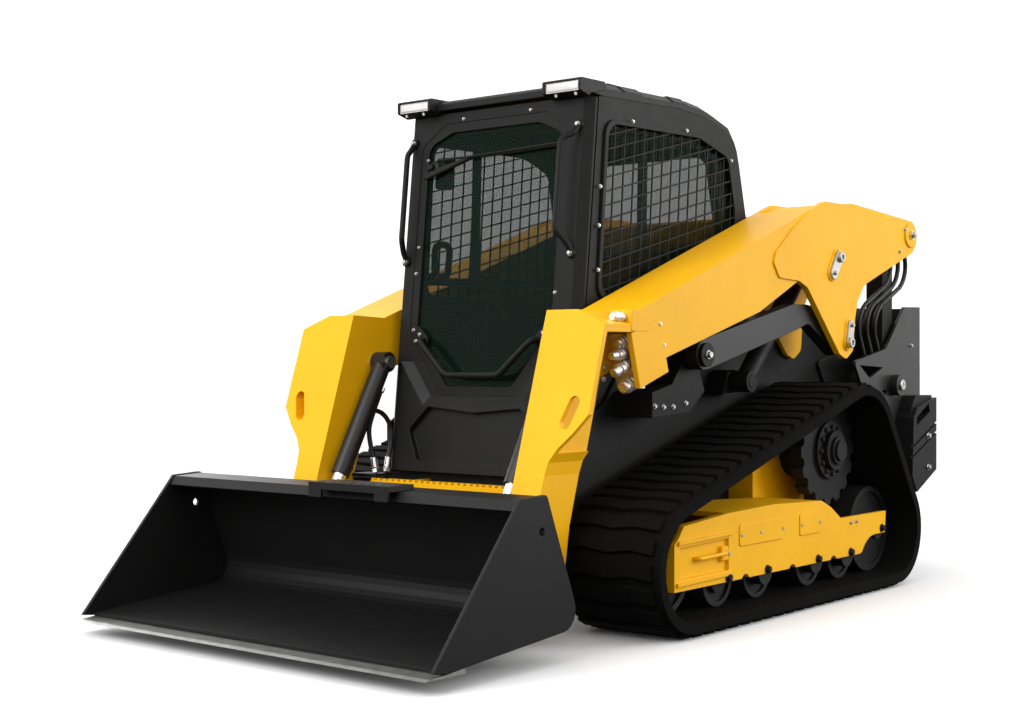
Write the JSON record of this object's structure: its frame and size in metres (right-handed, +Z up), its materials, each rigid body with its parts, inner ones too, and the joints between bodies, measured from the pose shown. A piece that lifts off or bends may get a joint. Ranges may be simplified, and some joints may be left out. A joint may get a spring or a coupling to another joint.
{
  "type": "compact track loader",
  "caption": "Compact track loader with triangular rubber tracks, vertical lift arms, a closed cab with mesh side guards and a general purpose bucket.",
  "frame": {"origin": "on the ground, at the middle of the machine's length and width", "axes": "+Z up, -Y to the front, towards the bucket, +X to the operator's left"},
  "size_m": [1.98, 3.956, 2.148],
  "materials": {
    "yellow_paint": "gloss",
    "black_paint": "satin",
    "bucket_paint": "satin",
    "belt_rubber": "matte",
    "dark_steel": "satin",
    "edge_steel": "worn",
    "engine_iron": "matte",
    "moulded_plastic": "matte",
    "tinted_glass": "gloss",
    "lamp_white": "gloss",
    "seat_cover": "matte",
    "chrome": "polished"
  },
  "bodies": {
    "chassis": {"chassis_tub": "black_paint", "rear_tower_left": "black_paint", "rear_tower_right": "black_paint", "counterweights": "black_paint", "engine_block": "engine_iron", "hood": "black_paint", "front_step": "yellow_paint", "link_brackets": "black_paint", "track_frame_left": "yellow_paint", "track_frame_right": "yellow_paint", "track_left": "belt_rubber", "track_right": "belt_rubber", "sprockets": "dark_steel", "rollers": "dark_steel", "cab_floor": "black_paint", "front_panel": "moulded_plastic", "cab_front_frame": "black_paint", "front_door": "black_paint", "door_glass": "tinted_glass", "cab_left_wall": "black_paint", "cab_right_wall": "black_paint", "cab_rear_wall": "black_paint", "cab_roof": "moulded_plastic", "cab_windows": "tinted_glass", "side_guards": "black_paint", "grab_rails": "black_paint", "work_lamps": "lamp_white", "wiper": "moulded_plastic", "seat": "seat_cover", "control_pods": "moulded_plastic"},
    "rear_door": {"rear_door": "black_paint"},
    "rear_link": {"rear_links": "black_paint"},
    "control_link": {"control_links": "black_paint"},
    "lift_arm": {"lift_arm_left": "yellow_paint", "lift_arm_right": "yellow_paint", "arm_crossmember": "yellow_paint", "arm_pins": "chrome", "aux_couplers": "chrome"},
    "lift_barrel": {"lift_barrels": "black_paint"},
    "lift_rod": {"lift_rods": "chrome"},
    "tilt_barrel": {"tilt_barrels": "black_paint"},
    "tilt_rod": {"tilt_rods": "chrome"},
    "bucket": {"quick_coupler": "black_paint", "bucket_shell": "bucket_paint", "bucket_sides": "bucket_paint", "cutting_edge": "edge_steel", "bucket_step": "bucket_paint"}
  },
  "joints": [
    {"name": "lift", "type": "hinge", "parent": "chassis", "child": "control_link", "pos_m": [0, -0.17, 1.047], "axis": [1, 0, 0], "range_deg": [0, 46]},
    {"name": "arm_turn", "type": "hinge", "parent": "control_link", "child": "lift_arm", "pos_m": [0, 0.972, 1.106], "axis": [-1, 0, 0], "range_deg": [0, 107]},
    {"name": "rear_link_turn", "type": "hinge", "parent": "chassis", "child": "rear_link", "pos_m": [0, 1.64, 0.905], "axis": [1, 0, 0], "range_deg": [0, 22]},
    {"name": "lift_barrel_turn", "type": "hinge", "parent": "chassis", "child": "lift_barrel", "pos_m": [0, 0.32, 0.935], "axis": [1, 0, 0], "range_deg": [0, 22]},
    {"name": "lift_rod_slide", "type": "slide", "parent": "lift_barrel", "child": "lift_rod", "axis": [0, 0.7084, 0.7058], "range_m": [0, 0.578]},
    {"name": "tilt", "type": "hinge", "parent": "lift_arm", "child": "bucket", "pos_m": [0, -1.03, 0.205], "axis": [1, 0, 0], "range_deg": [-25, 92]},
    {"name": "tilt_barrel_turn", "type": "hinge", "parent": "lift_arm", "child": "tilt_barrel", "pos_m": [0, -0.764, 1.018], "axis": [-1, 0, 0], "range_deg": [-1.5, 5]},
    {"name": "tilt_rod_slide", "type": "slide", "parent": "tilt_barrel", "child": "tilt_rod", "axis": [0, -0.4817, -0.8763], "range_m": [-0.09, 0.33]},
    {"name": "rear_door_swing", "type": "hinge", "parent": "chassis", "child": "rear_door", "pos_m": [-0.548, 1.966, 0.9], "axis": [0, 0, 1], "range_deg": [0, 110]}
  ],
  "couplings": [
    {"joint": "arm_turn", "follows": "lift", "ratio": 2.3216},
    {"joint": "rear_link_turn", "follows": "lift", "ratio": 0.47},
    {"joint": "lift_barrel_turn", "follows": "lift", "ratio": 0.4651},
    {"joint": "lift_rod_slide", "follows": "lift", "m_per_rad": 0.7185},
    {"joint": "tilt_barrel_turn", "follows": "tilt", "ratio": 0.05},
    {"joint": "tilt_rod_slide", "follows": "tilt", "m_per_rad": 0.2043}
  ]
}
